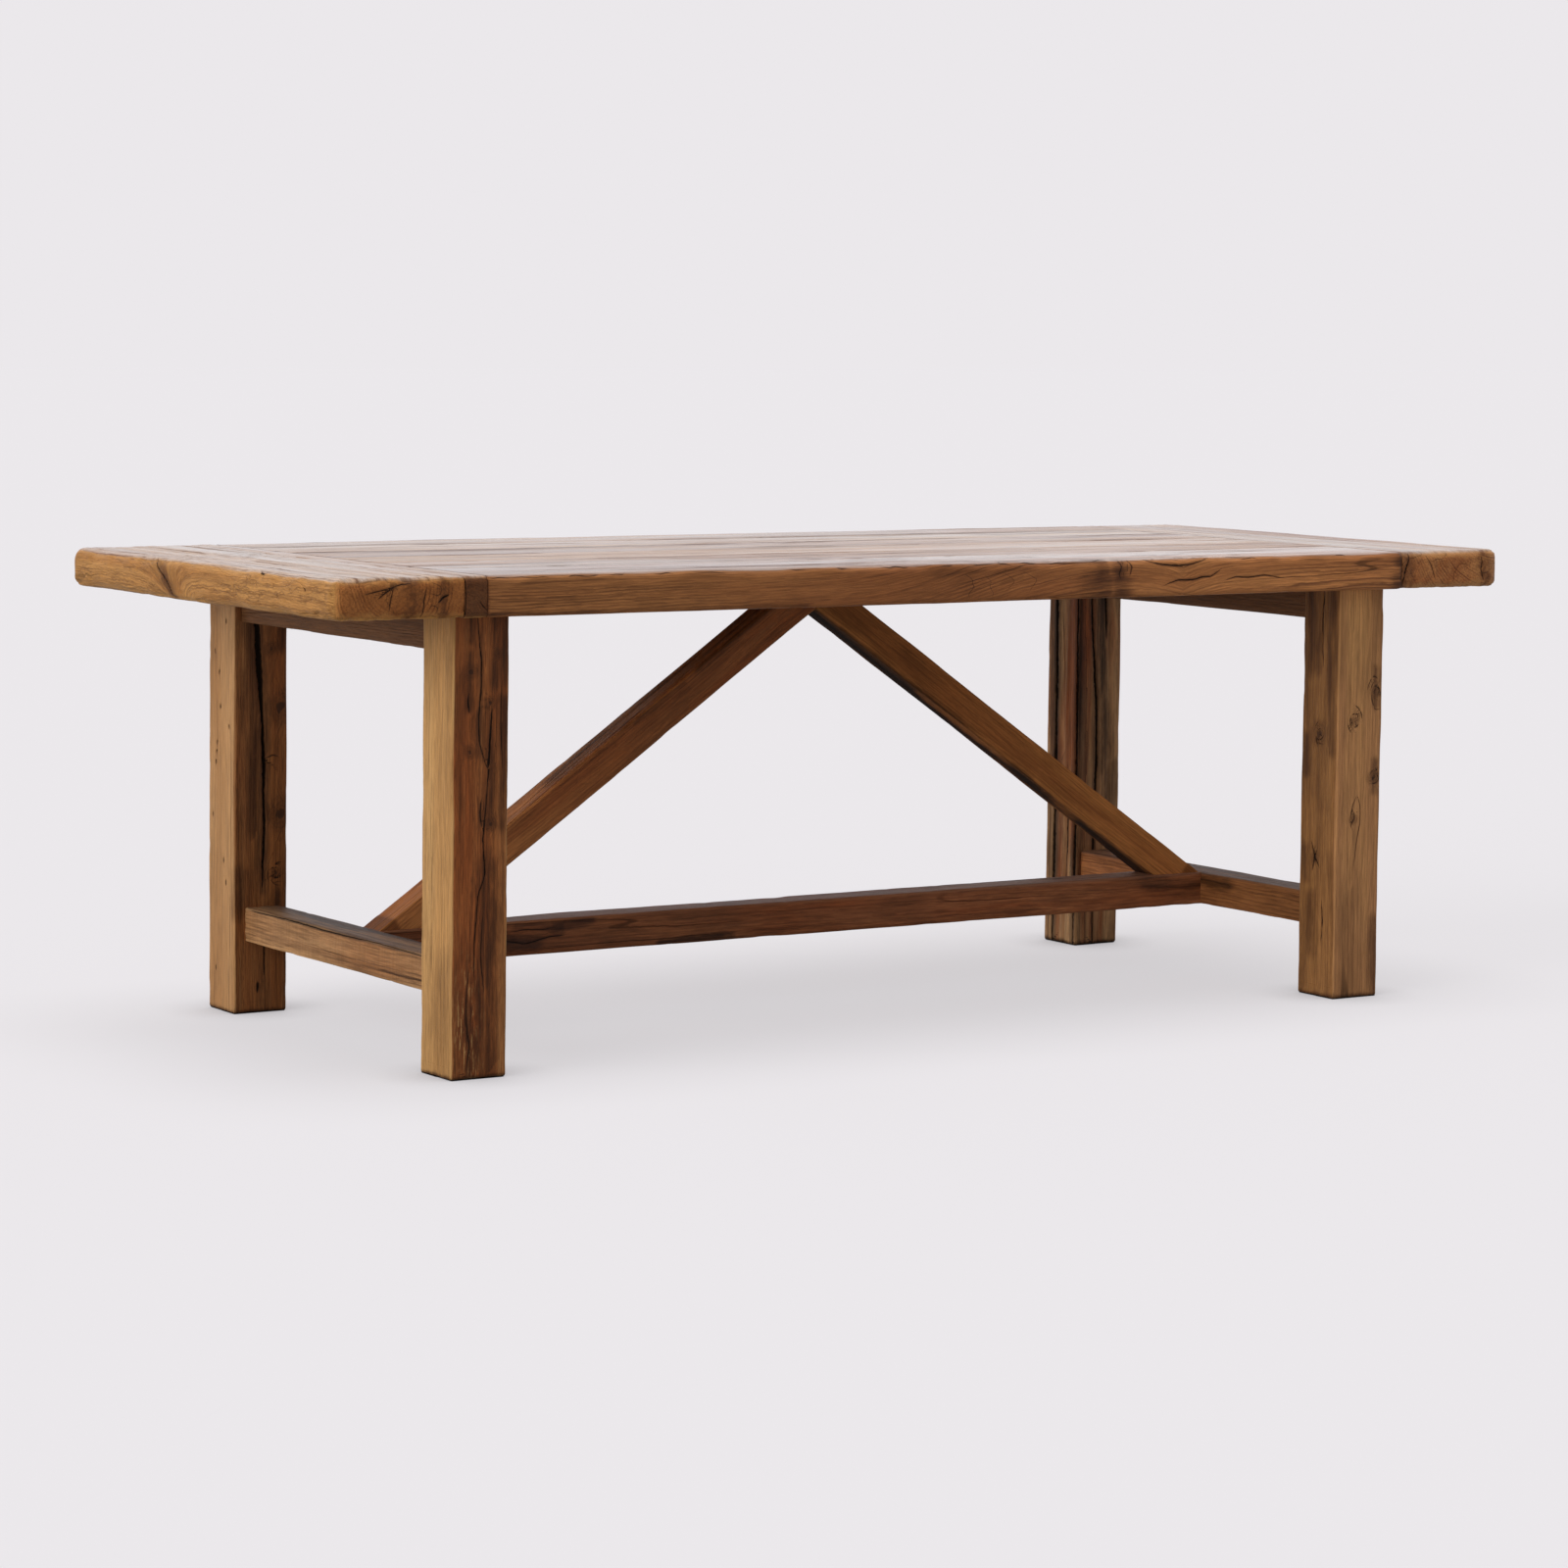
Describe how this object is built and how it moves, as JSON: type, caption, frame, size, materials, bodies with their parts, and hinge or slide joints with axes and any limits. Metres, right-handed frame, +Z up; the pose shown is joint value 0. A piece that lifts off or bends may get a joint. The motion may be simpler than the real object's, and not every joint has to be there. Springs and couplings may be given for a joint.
{
  "type": "farmhouse dining table",
  "caption": "Long farmhouse dining table of thick old timber: planked top with boards across its ends, square posts, end rails, a low centre stretcher and slanting braces under the top.",
  "frame": {"origin": "on the floor, under the middle of the top", "axes": "+X along the table towards the right end, +Y from the front edge to the back edge, +Z up"},
  "size_m": [2.24, 0.93, 0.76],
  "materials": {
    "top_planks": "old timber, waxed, worn pale on top",
    "end_boards": "old timber, waxed, honey brown with rough end grain",
    "posts": "old timber, waxed, cracked and knotty",
    "rails": "old timber, waxed, rough sawn",
    "braces": "old timber, waxed"
  },
  "bodies": {
    "root": {"plank_1_front": "top_planks", "plank_2": "top_planks", "plank_3_centre": "top_planks", "plank_4": "top_planks", "plank_5": "top_planks", "plank_6_back": "top_planks", "end_board_left": "end_boards", "end_strip_left": "end_boards", "end_board_right": "end_boards", "leg_front_left": "posts", "leg_front_right": "posts", "leg_back_left": "posts", "leg_back_right": "posts", "apron_left": "rails", "apron_right": "rails", "end_stretcher_left": "rails", "end_stretcher_right": "rails", "long_stretcher": "rails", "brace_left": "braces", "brace_right": "braces"}
  },
  "joints": []
}
